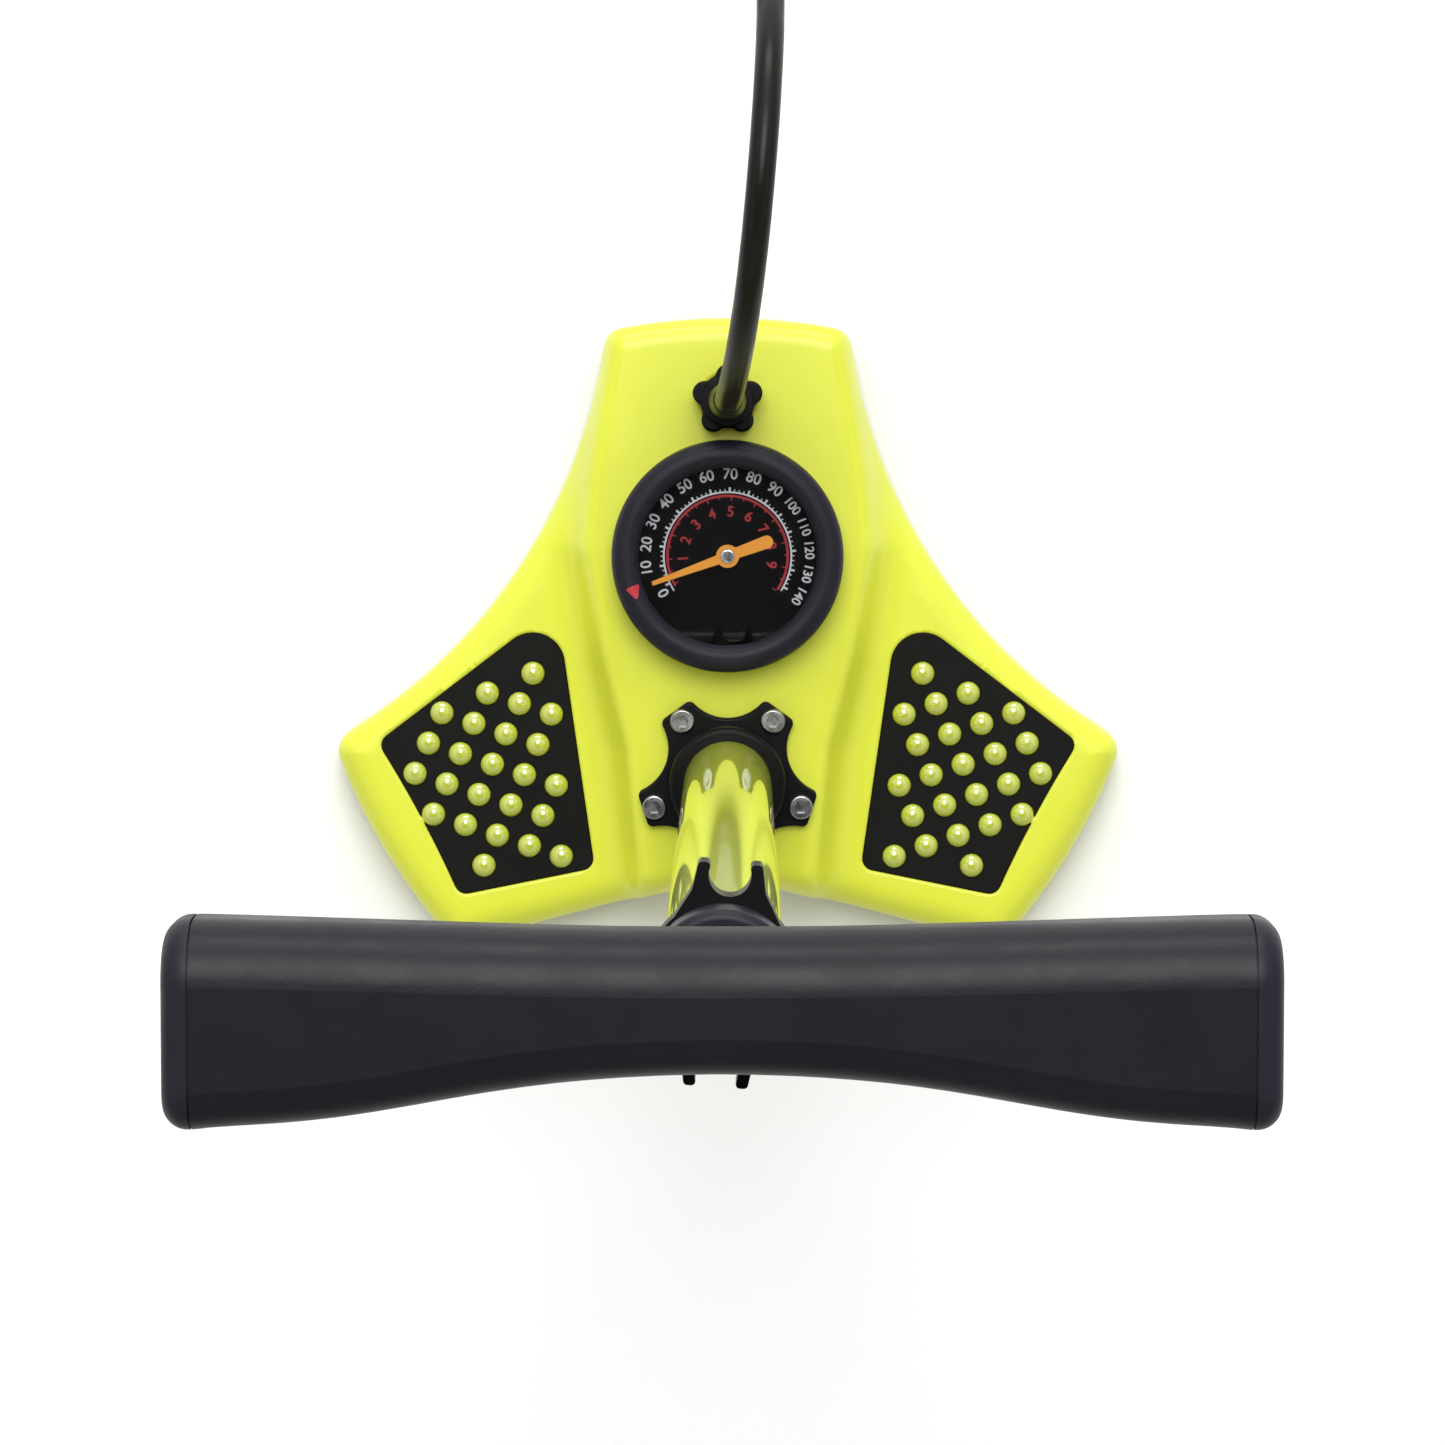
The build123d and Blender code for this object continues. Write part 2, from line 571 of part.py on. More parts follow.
def gauge_link():
    """Link from the sector's tail to the free end of the pressure tube."""
    px, py = on_circle(SECTOR_PIVOT_R, SECTOR_PIVOT_ANGLE)
    start = on_circle(6.8, 160, px, py)
    end = (-25.2, -4.0)
    reach = math.dist(start, end)
    heading = math.degrees(math.atan2(end[1] - start[1], end[0] - start[0]))
    bar = SlotCenterToCenter(reach, 2.0)
    middle = ((start[0] + end[0]) / 2, (start[1] + end[1]) / 2, 49.5)
    return at_gauge(Pos(*middle) * Rot(0, 0, heading) * extrude(bar, 0.8))


def movement_frame():
    """Two plates on pillars that hold the gauge's arbors."""
    near, far = 12.0, -27.0
    slot = Pos((near + far) / 2, 0) * SlotCenterToCenter(near - far, 10.0)
    frame = Pos(0, 0, 43.6) * extrude(slot, 1.4) + Pos(0, 0, 51.2) * extrude(slot, 1.2)
    for x in (near, far):
        frame = frame + rod(1.3, 44, 52, x, 0)
    frame = frame - rod(0.95, 40, 60)
    frame = frame - rod(1.15, 40, 60, -SECTOR_PIVOT_R, 0)
    return at_gauge(Rot(0, 0, SECTOR_PIVOT_ANGLE - 180) * frame)


def bourdon_tube():
    """Flattened brass tube bent round three quarters of a circle, closed at its free end."""
    middle_r = 28.2
    section = Plane.XZ * Pos(middle_r, 47.6) * RectangleRounded(2.6, 6.0, 1.2)
    tube = revolve(section, Axis.Z, 262)
    tube = Rot(0, 0, -84) * tube
    return at_gauge(tube)


def gauge_stem():
    """Brass stem from the air channel up into the gauge, where the pressure tube is brazed in."""
    block = Pos(0, SOCKET_Y - GAUGE_Y, 47.2) * Box(5.6, 7.0, 8.0)
    stem = block + rod(5.0, 24, 43.2, 0, SOCKET_Y - GAUGE_Y)
    return at_gauge(stem - rod(1.5, 20, 46, 0, SOCKET_Y - GAUGE_Y))


# ---------------------------------------------------------------- hose port
def hose_barb():
    barb = rod(6.0, 26, HOSE_EXIT_Z, 0, PORT_Y)
    barb = barb + ring(8.6, 5, PLATEAU_Z, PLATEAU_Z + 1.6, 0, PORT_Y)
    return barb - rod(2.0, 20, HOSE_EXIT_Z - 6, 0, PORT_Y)


def hose_nut():
    """Star knob with five rounded lobes under a plain collar."""
    low, lobe_top, top = PLATEAU_Z + 1.6 + GAP, 61.5, HOSE_EXIT_Z - 2 - GAP
    star = Circle(9.3)
    for i in range(5):
        star = star + Pos(*on_circle(8.2, 90 + 72 * i)) * Circle(4.0)
    star = fillet(star.vertices(), 2.5)
    knob = extrude(star, lobe_top - low)
    knob = chamfer(knob.faces().sort_by(Axis.Z)[-1].edges(), 1.0)
    knob = knob + rod(8.3, 0, top - low)
    knob = chamfer(knob.edges().sort_by(Axis.Z)[-1], 1.2)
    return Pos(0, PORT_Y, low) * (knob - rod(6.0 + SEAT, -1, 30))


# ---------------------------------------------------------------- hose
def route_radii(route):
    radii = []
    for before, here, after in zip(route, route[1:], route[2:]):
        run_in, run_out = Vector(*here) - Vector(*before), Vector(*after) - Vector(*here)
        half_turn = math.radians(run_in.get_angle(run_out)) / 2
        radii.append(0.45 * min(run_in.length, run_out.length) / math.tan(half_turn))
    return radii


def hose_tube(route, name):
    radii = route_radii(route)
    path = FilletPolyline(*route, radius=radii)
    tube = sweep(Plane(path @ 0, z_dir=path % 0) * Circle(HOSE_R), path=path)
    print(name, "length", round(path.length, 1), "volume", round(tube.volume),
          "section x length", round(math.pi * HOSE_R ** 2 * path.length),
          "radii", [round(r) for r in radii])
    return tube


def hose_coil():
    """Outer shape of the put-away coil: the first turn stands on the start of the second one."""
    inner, step, outer = COIL_R - 4.7, COIL_R + 4.7, COIL_R + 13.9
    section = make_face(Polyline((inner, 0), (outer, 0), (outer, 9.2), (step, 9.2), (step, 18.3),
                                 (inner, 18.3), close=True))
    upper = [(outer, 9.2), (step, 18.3), (inner, 18.3)]
    section = fillet([v for v in section.vertices()
                      if min(math.dist((v.X, v.Y), p) for p in upper) < 0.1], 2.0)
    return Pos(COIL_X, COIL_Y, 0) * revolve(Plane.XZ * section, Axis.Z)


def hose_tie():
    """Fabric strap round the turns of the coil."""
    inner, step, outer, t = COIL_R - 5.0, COIL_R + 5.0, COIL_R + 14.2, 1.2
    outside = make_face(Polyline((inner - t, 0.1), (outer + t, 0.1), (outer + t, 10.7), (step + t, 10.7),
                                 (step + t, 19.8), (inner - t, 19.8), close=True))
    inside = make_face(Polyline((inner, -1), (outer, -1), (outer, 9.5), (step, 9.5), (step, 18.6),
                                (inner, 18.6), close=True))
    band = revolve(Plane.XZ * (outside - inside), Axis.Z, 18)
    return Pos(COIL_X, COIL_Y, 0) * Rot(0, 0, 32) * band


# ---------------------------------------------------------------- pump head
# Drawn with the hose arriving along +X, the valve bore opening along +Y and Z up.
def at_head(shape):
    return Pos(HEAD_X, HEAD_Y, HEAD_Z) * Rot(0, 0, HEAD_ANGLE) * shape


def along_y(r, low, high, x=0.0, z=0.0):
    return Pos(x, (low + high) / 2, z) * Rot(90, 0, 0) * Cylinder(r, high - low)


def along_x(r, low, high):
    return Pos((low + high) / 2, 0, 0) * Rot(0, 90, 0) * Cylinder(r, high - low)


PIN_Y = -19.0                    # lever pin, behind the valve bore
PIN_R = 2.0


def head_body():
    body = along_y(11.0, -14, 19)
    body = fillet(body.edges().sort_by(Axis.Y)[0], 2.0)
    body = body + along_x(7.8, -25, 0)
    body = body + Pos(0, PIN_Y + 3, 0) * Box(9.0, 6.0, 8.0) + Pos(0, PIN_Y, 0) * Cylinder(4.5, 8.0)
    body = body - along_y(8.05, -9, 20) - along_x(2.0, -30, -5)
    body = body - along_x(4.55, -30, -14)
    return at_head(body - Pos(0, PIN_Y, 0) * Cylinder(PIN_R + SEAT, 20))


def head_plunger():
    return at_head(along_y(8.0, -8.8, 6) - along_x(2.0, -10, 0) - along_y(2.0, -2, 7))


def head_gasket():
    return at_head(along_y(8.0, 6, 24) - along_y(4.05, 5, 25))


def head_gland():
    """Screwed cap that holds the gasket, ribbed round its rim."""
    gland = along_y(12.0, 19, 29)
    gland = chamfer(gland.edges().sort_by(Axis.Y)[-1], 1.2)
    gland = gland - along_y(8.05, 18, 24) - along_y(5.0, 20, 30)
    for i in range(18):
        gland = gland - Rot(0, 20 * i, 0) * along_y(0.7, 18, 26.5, 12.1)
    return at_head(gland)


def head_ferrule():
    ferrule = along_x(6.4, -36, -25)
    ferrule = chamfer(ferrule.edges().sort_by(Axis.X)[0], 0.8)
    ferrule = ferrule - along_x(2.0, -40, -20)
    return at_head(ferrule)


def lever_pin():
    return at_head(Pos(0, PIN_Y, 0) * Cylinder(PIN_R, 15.4))


def head_lever():
    """Forked thumb lever that lies across the head and swings back to lock it."""
    arm = make_face(Polyline((0, -14.4), (20, -14.4), (44, -17.5), (50, -18.5), (50, -22.5),
                             (40, -22.6), (0, -23.6), close=True))
    profile = arm + Pos(0, PIN_Y) * Circle(4.6)
    lever = extrude(profile, 7.6, both=True)
    lever = fillet([e for e in lever.edges().filter_by(Axis.Z) if e.center().X > 45], 1.6)
    lever = lever - Pos(-2, PIN_Y, 0) * Box(20, 20, 8.0 + 2 * GAP)
    return at_head(lever - Pos(0, PIN_Y, 0) * Cylinder(PIN_R + SEAT, 20))


# ---------------------------------------------------------------- every node
os.makedirs("parts", exist_ok=True)

NODES = {
    "base_shell": base_shell(),
    "base_cover": base_cover(),
    "cover_screws": cover_screws(),
    "air_manifold": air_manifold(),
    "barrel_gasket": barrel_gasket(),
    "check_valve_seat": check_valve_seat(),
    "check_valve_disc": check_valve_disc(),
    "check_valve_spring": check_valve_spring(),
    "barrel_tube": barrel_tube(),
    "barrel_flange": barrel_flange(),
    "flange_screws": flange_screws(),
    "hose_clip": hose_clip(),
    "barrel_cap": barrel_cap(),
    "guide_bush": guide_bush(),
    "rod_wiper": rod_wiper(),
    "piston_head": piston_head(),
    "piston_cup": piston_cup(),
    "piston_rod": piston_rod(),
    "piston_nut": piston_nut(),
    "rod_bumper": rod_bumper(),
    "handle_grip": handle_grip(),
    "handle_core": handle_core(),
    "handle_hub": handle_hub(),
    "handle_bolt": handle_bolt(),
    "handle_cap_left": handle_cap(-1),
    "handle_cap_right": handle_cap(1),
    "gauge_case": gauge_case(),
    "gauge_dial": gauge_dial(),
    "gauge_lens": gauge_lens(),
    "gauge_bezel": gauge_bezel(),
    "bezel_marker": bezel_marker(),
    "gauge_needle": gauge_needle(),
    "needle_pin": needle_pin(),
    "gauge_pinion": gauge_pinion(),
    "gauge_sector": gauge_sector(),
    "gauge_link": gauge_link(),
    "movement_frame": movement_frame(),
    "bourdon_tube": bourdon_tube(),
    "gauge_stem": gauge_stem(),
    "hose_barb": hose_barb(),
    "hose_nut": hose_nut(),
    "hose": hose_tube(HOSE_ROUTE, "hose"),
    "hose_coil": hose_coil(),
    "hose_end": hose_tube(HOSE_END_ROUTE, "hose_end"),
    "hose_tie": hose_tie(),
    "head_body": head_body(),
    "head_plunger": head_plunger(),
    "head_gasket": head_gasket(),
    "head_gland": head_gland(),
    "head_ferrule": head_ferrule(),
    "lever_pin": lever_pin(),
    "head_lever": head_lever(),
}
left_pad = foot_pad()
NODES["foot_pad_left"] = left_pad
NODES["foot_pad_right"] = mirror(left_pad, Plane.YZ)
for foot_name, (foot_x, foot_y) in FEET.items():
    NODES[foot_name] = rubber_foot(foot_x, foot_y)

for node_name, node_shape in NODES.items():
    export(node_name, node_shape)
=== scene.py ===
import bmesh
import bpy
import math
from mathutils import Matrix, Vector
from mathutils.geometry import delaunay_2d_cdt
from mathutils.kdtree import KDTree


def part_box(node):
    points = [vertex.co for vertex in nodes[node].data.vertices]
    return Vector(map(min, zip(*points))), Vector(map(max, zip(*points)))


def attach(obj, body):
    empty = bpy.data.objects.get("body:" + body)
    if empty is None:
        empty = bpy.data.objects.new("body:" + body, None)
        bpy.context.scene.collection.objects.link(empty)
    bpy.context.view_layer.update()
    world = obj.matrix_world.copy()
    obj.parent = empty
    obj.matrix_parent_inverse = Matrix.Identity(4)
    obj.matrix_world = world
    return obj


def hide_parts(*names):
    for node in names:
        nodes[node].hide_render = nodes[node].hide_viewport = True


# A floor pump with a gauge, on a pale studio floor.  Metres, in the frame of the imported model.

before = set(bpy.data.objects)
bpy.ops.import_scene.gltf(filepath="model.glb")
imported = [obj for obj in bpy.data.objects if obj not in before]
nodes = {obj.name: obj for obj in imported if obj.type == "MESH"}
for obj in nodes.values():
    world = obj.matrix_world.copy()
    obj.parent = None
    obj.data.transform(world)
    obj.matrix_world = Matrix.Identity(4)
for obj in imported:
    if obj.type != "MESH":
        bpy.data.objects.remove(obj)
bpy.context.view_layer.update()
scene = bpy.context.scene
MM = 0.001


# ---------------------------------------------------------------- materials
class Nodes:
    """Small helper that builds a node material round one Principled shader."""

    def __init__(self, name, color, roughness=0.5, metallic=0.0, **sockets):
        self.mat = bpy.data.materials.new(name)
        self.mat.use_nodes = True
        self.tree = self.mat.node_tree
        self.shader = self.tree.nodes["Principled BSDF"]
        self.shader.inputs["Base Color"].default_value = (*color, 1)
        self.shader.inputs["Roughness"].default_value = roughness
        self.shader.inputs["Metallic"].default_value = metallic
        for key, value in sockets.items():
            self.shader.inputs[key.replace("_", " ")].default_value = value
        self.coords = self.tree.nodes.new("ShaderNodeTexCoord").outputs["Object"]
        self.normal = None

    def link(self, a, b):
        self.tree.links.new(a, b)

    def stretched(self, scale):
        mapping = self.tree.nodes.new("ShaderNodeMapping")
        mapping.inputs["Scale"].default_value = scale
        self.link(self.coords, mapping.inputs["Vector"])
        return mapping.outputs["Vector"]

    def noise(self, scale, detail=3.0, rough=0.5, vector=None):
        n = self.tree.nodes.new("ShaderNodeTexNoise")
        n.inputs["Scale"].default_value = scale
        n.inputs["Detail"].default_value = detail
        n.inputs["Roughness"].default_value = rough
        self.link(vector or self.coords, n.inputs["Vector"])
        return n.outputs["Fac"]

    def cells(self, scale, vector=None):
        n = self.tree.nodes.new("ShaderNodeTexVoronoi")
        n.inputs["Scale"].default_value = scale
        self.link(vector or self.coords, n.inputs["Vector"])
        return n.outputs["Distance"]

    def remap(self, fac, low, high, to_low, to_high):
        n = self.tree.nodes.new("ShaderNodeMapRange")
        for key, value in (("From Min", low), ("From Max", high), ("To Min", to_low), ("To Max", to_high)):
            n.inputs[key].default_value = value
        self.link(fac, n.inputs["Value"])
        return n.outputs["Result"]

    def tint(self, fac, other):
        """Mixes the colour so far with another one by fac."""
        n = self.tree.nodes.new("ShaderNodeMix")
        n.data_type = "RGBA"
        source = self.shader.inputs["Base Color"]
        if source.links:
            self.link(source.links[0].from_socket, n.inputs[6])
        else:
            n.inputs[6].default_value = source.default_value
        n.inputs[7].default_value = (*other, 1)
        self.link(fac, n.inputs[0])
        self.link(n.outputs[2], source)
        return self

    def rough(self, fac):
        self.link(fac, self.shader.inputs["Roughness"])
        return self

    def bump(self, fac, depth, strength=1.0):
        n = self.tree.nodes.new("ShaderNodeBump")
        n.inputs["Distance"].default_value = depth
        n.inputs["Strength"].default_value = strength
        self.link(fac, n.inputs["Height"])
        if self.normal:
            self.link(self.normal, n.inputs["Normal"])
        self.normal = n.outputs["Normal"]
        self.link(self.normal, self.shader.inputs["Normal"])
        return self


def shade(color, k):
    return tuple(min(1.0, c * k) for c in color)


def moulded(name, color, roughness, spread, grain, depth, patches, **sockets):
    """Moulded plastic or rubber: fine grain, patchy gloss and a little colour drift."""
    m = Nodes(name, color, roughness, **sockets)
    m.tint(m.remap(m.noise(22, 4), 0.35, 0.7, 0.0, 1.0), shade(color, 1.0 - patches))
    m.rough(m.remap(m.noise(55, 5, 0.65), 0.3, 0.7, roughness - spread, roughness + spread))
    m.bump(m.noise(grain, 2), depth, 0.6)
    return m


# Name: colour, roughness, its spread, grain scale, grain depth, colour drift, other sockets.
MOULDED = {
    "lime_plastic": ((0.68, 0.73, 0.045), 0.34, 0.05, 1400, 0.00002, 0.05, {}),
    # lime_stud is the base's own lime plastic made darker: painted shade on the domes; the clear coat gives
    # their real glints
    "lime_stud": ((0.46, 0.52, 0.035), 0.3, 0.03, 1400, 0.00001, 0.05,
                  {"Coat_Weight": 1.0, "Coat_Roughness": 0.04, "Coat_IOR": 2.0}),
    "black_plastic": ((0.003, 0.003, 0.0033), 0.38, 0.07, 1800, 0.00003, 0.3, {"Specular_IOR_Level": 0.12}),
    "charcoal_plastic": ((0.011, 0.0095, 0.017), 0.44, 0.06, 2200, 0.00003, 0.2, {"Specular_IOR_Level": 0.2}),
    "grip_rubber": ((0.006, 0.005, 0.0085), 0.42, 0.05, 2600, 0.00004, 0.15, {"Specular_IOR_Level": 0.22}),
    "pad_rubber": ((0.006, 0.006, 0.005), 0.6, 0.07, 1600, 0.00004, 0.3, {"Specular_IOR_Level": 0.12}),
    "seal_rubber": ((0.02, 0.02, 0.02), 0.5, 0.06, 900, 0.00002, 0.2, {}),
    "hose_rubber": ((0.006, 0.0047, 0.003), 0.34, 0.06, 1200, 0.00002, 0.25, {"Specular_IOR_Level": 0.2}),
    "dial_black": ((0.003, 0.0028, 0.0036), 0.5, 0.05, 3000, 0.00001, 0.3, {"Specular_IOR_Level": 0.05}),
    "needle_orange": ((0.87, 0.33, 0.012), 0.42, 0.04, 1500, 0.00001, 0.06, {}),
    "marker_red": ((0.40, 0.013, 0.021), 0.4, 0.04, 1500, 0.00001, 0.08, {}),
    "tie_fabric": ((0.02, 0.02, 0.021), 0.85, 0.05, 900, 0.0001, 0.3, {"Sheen_Weight": 0.4}),
    "dial_white": ((0.62, 0.63, 0.68), 0.5, 0.04, 2000, 0.00001, 0.1, {}),
    "dial_red": ((0.42, 0.006, 0.012), 0.5, 0.04, 2000, 0.00001, 0.1, {}),
}

# Name: colour, roughness, and how far its fine lines are stretched along each axis.
METALS = {
    "steel": ((0.74, 0.75, 0.77), 0.16, (600, 600, 30)),
    # screw_steel is steel made much darker than the rod's: a painted reflection of dark surroundings in the
    # screw heads
    "screw_steel": ((0.30, 0.30, 0.31), 0.24, (300, 300, 900)),
    "brass": ((0.76, 0.57, 0.26), 0.26, (500, 500, 1200)),
    "spring_steel": ((0.5, 0.5, 0.52), 0.3, (900, 900, 900)),
}


def brushed(name, color, roughness, along):
    """Metal with fine lines in its gloss and slightly duller patches."""
    m = Nodes(name, color, roughness, 1.0)
    lines = m.noise(1.0, 3, vector=m.stretched(along))
    m.rough(m.remap(lines, 0.3, 0.7, roughness - 0.06, roughness + 0.1)).bump(lines, 0.00001, 0.4)
    m.tint(m.remap(m.noise(90, 4), 0.45, 0.75, 0.0, 0.6), shade(color, 0.8))
    return m


def make_materials():
    mats = {name: moulded(name, *values, **sockets) for name, (*values, sockets) in MOULDED.items()}
    mats["tie_fabric"].bump(mats["tie_fabric"].cells(1100), 0.0002, 0.8)
    mats.update({name: brushed(name, *values) for name, values in METALS.items()})
    lacquer = Nodes("lime_lacquer", (0.66, 0.74, 0.035), 0.3, Coat_Weight=1.0, Coat_Roughness=0.03)
    lacquer.tint(lacquer.noise(30, 3), (0.61, 0.69, 0.03)).bump(lacquer.noise(260, 2), 0.00003, 0.3)
    lens = Nodes("lens_clear", (0.98, 0.99, 0.99), 0.02, Transmission_Weight=1.0, IOR=1.3)
    lens.rough(lens.remap(lens.noise(500, 6, 0.7), 0.5, 0.75, 0.01, 0.05))
    mats.update(lime_lacquer=lacquer, lens_clear=lens)
    return {name: m.mat for name, m in mats.items()}


MATERIALS = make_materials()

for item in nodes.values():
    slot = item.data.materials[0].name.split(".")[0]
    item.data.materials[0] = MATERIALS[slot]


# ---------------------------------------------------------------- pieces
def polar(radius, degrees):
    return (radius * math.cos(math.radians(degrees)), radius * math.sin(math.radians(degrees)))


def add(name, data, body, slot, material=None):
    piece = bpy.data.objects.new(name, data)
    scene.collection.objects.link(piece)
    data.materials.clear()
    data.materials.append(MATERIALS[material or slot])
    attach(piece, body)
    return piece


BARREL_Y, GAUGE_Y, PORT_Y = -0.0499, 0.0278, 0.0805   # axes of the barrel, the gauge and the hose port


# ---------------------------------------------------------------- base
RIM_Z, LOBE_Z, PLATEAU_Z = 0.0025, 0.0300, 0.0480
POCKET_Z = 0.0285                # floor of the pocket under each tread pad
LOBE_ROUND, LIP_ROUND = 0.0100, 0.0070
REAR_WIDTH, REAR_DROP = 0.0095, 0.0165   # the raised middle rolls down behind the barrel
SIDE_SLOPE = math.radians(20)    # of the raised middle's sides, from upright
CREST_ROUND, VALLEY_ROUND = 0.0062, 0.0120
BARREL_HOLE_R, GAUGE_HOLE_R, PORT_HOLE_R = 0.0186, 0.0358, 0.0093
GRID = 0.0021                    # spacing of the base's surface points
PAD_SIDE_X = 0.04                # the pockets lie further out than this, the round holes further in
MIDDLE_EDGE = [(0.0360, 0.1750), (0.0460, 0.1050), (0.0485, 0.0800), (0.0420, 0.0430), (0.0340, 0.0110),
               (0.0280, -0.0500)]   # right-hand edge of the raised middle, from the barrel's axis


def flat_outline(node, height):
    """Longest closed outline of a CAD node's flat faces at one height."""
    mesh = nodes[node].data
    edges = set()
    for face in mesh.polygons:
        corners = [mesh.vertices[i].co for i in face.vertices]
        if all(abs(c.z - height) < 2e-5 for c in corners):
            keys = [(round(c.x, 6), round(c.y, 6)) for c in corners]
            edges.update((a, b) for a, b in zip(keys, keys[1:] + keys[:1]) if a != b)
    follow = {a: b for a, b in edges if (b, a) not in edges}
    loops = []
    while follow:
        start, here = follow.popitem()
        loop = [Vector(start)]
        while here != start and here in follow:
            loop.append(Vector(here))
            here = follow.pop(here)
        loops.append(loop)
    outline = max(loops, key=perimeter)
    return outline if signed_area(outline) > 0 else outline[::-1]


def perimeter(loop):
    return sum((b - a).length for a, b in zip(loop, loop[1:] + loop[:1]))


def signed_area(loop):
    return sum(a.x * b.y - b.x * a.y for a, b in zip(loop, loop[1:] + loop[:1])) / 2


def resampled(loop, spacing):
    """The same closed outline with even points, smooth along its curved runs."""
    dense = []
    count = len(loop)
    for i in range(count):
        before, a, b, after = (loop[(i + k) % count] for k in (-1, 0, 1, 2))
        span = (b - a).length
        curved = all((q - p).length < 2.5 * span for p, q in ((before, a), (b, after))) and span < 0.02
        steps = max(1, round(span / 0.0004))
        for step in range(steps):
            t = step / steps
            if curved:
                lead = (b - before) * (span / max(span + (a - before).length, 1e-9))
                tail = (after - a) * (span / max(span + (after - b).length, 1e-9))
                dense.append((2 * t**3 - 3 * t**2 + 1) * a + (t**3 - 2 * t**2 + t) * lead
                             + (3 * t**2 - 2 * t**3) * b + (t**3 - t**2) * tail)
            else:
                dense.append(a.lerp(b, t))
    total = perimeter(dense)
    wanted = max(8, round(total / spacing))
    out, walked, goal = [], 0.0, 0.0
    for a, b in zip(dense, dense[1:] + dense[:1]):
        step = (b - a).length
        while goal <= walked + step and len(out) < wanted:
            out.append(a.lerp(b, (goal - walked) / max(step, 1e-12)))
            goal += total / wanted
        walked += step
    return out


def inward(loop):
    """Unit normals of a counter-clockwise loop, pointing to its inside."""
    out = []
    for i in range(len(loop)):
        along = (loop[(i + 1) % len(loop)] - loop[i - 1]).normalized()
        out.append(Vector((-along.y, along.x)))
    return out


def moved(loop, distance):
    return [p + n * distance for p, n in zip(loop, inward(loop))]


def circle_loop(x, y, radius, count):
    return [Vector((x, y)) + Vector(polar(radius, 360 * i / count)) for i in range(count)]


class Nearest:
    """Signed distance to a closed outline, positive inside it."""

    def __init__(self, loop):
        self.points = resampled(loop, 0.0005)
        self.normals = inward(self.points)
        self.tree = KDTree(len(self.points))
        for i, p in enumerate(self.points):
            self.tree.insert((p.x, p.y, 0), i)
        self.tree.balance()

    def depth(self, p):
        place, i, distance = self.tree.find((p.x, p.y, 0))
        side = (p - self.points[i]).dot(self.normals[i])
        across = abs(side) if distance < 0.002 else distance
        return math.copysign(across, side)


def rounded_edge(depth, top, radius):
    """Height of a flat top whose outer edge is rounded over, at a depth inside its outline."""
    inside = min(max(depth, 0.0), radius)
    return top - radius + math.sqrt(max(0.0, radius**2 - (radius - inside)**2))


def rear_edge(depth):
    """Height of the raised middle where its rear edge rolls down towards the lobes."""
    inside = min(max(depth / REAR_WIDTH, 0.0), 1.0)
    return PLATEAU_Z - REAR_DROP * (1 - math.sqrt(max(0.0, 1 - (1 - inside)**2)))


def middle_profile(e):
    """Share of the raised middle's height at a distance inside its edge: crest, slope and valley."""
    rise = PLATEAU_Z - LOBE_Z
    lean = math.tan(SIDE_SLOPE)
    half = (math.pi / 2 - SIDE_SLOPE) / 2
    crest, valley = CREST_ROUND * math.tan(half), VALLEY_ROUND * math.tan(half)
    foot = -rise * lean
    if e >= crest:
        return 1.0
    if e <= foot - valley:
        return 0.0
    if e > -crest * math.sin(SIDE_SLOPE):
        drop = CREST_ROUND - math.sqrt(max(0.0, CREST_ROUND**2 - (crest - e)**2))
        return 1.0 - drop / rise
    if e < foot + valley * math.sin(SIDE_SLOPE):
        lift = VALLEY_ROUND - math.sqrt(max(0.0, VALLEY_ROUND**2 - (e - foot + valley)**2))
        return lift / rise
    return 1.0 + e / lean / rise


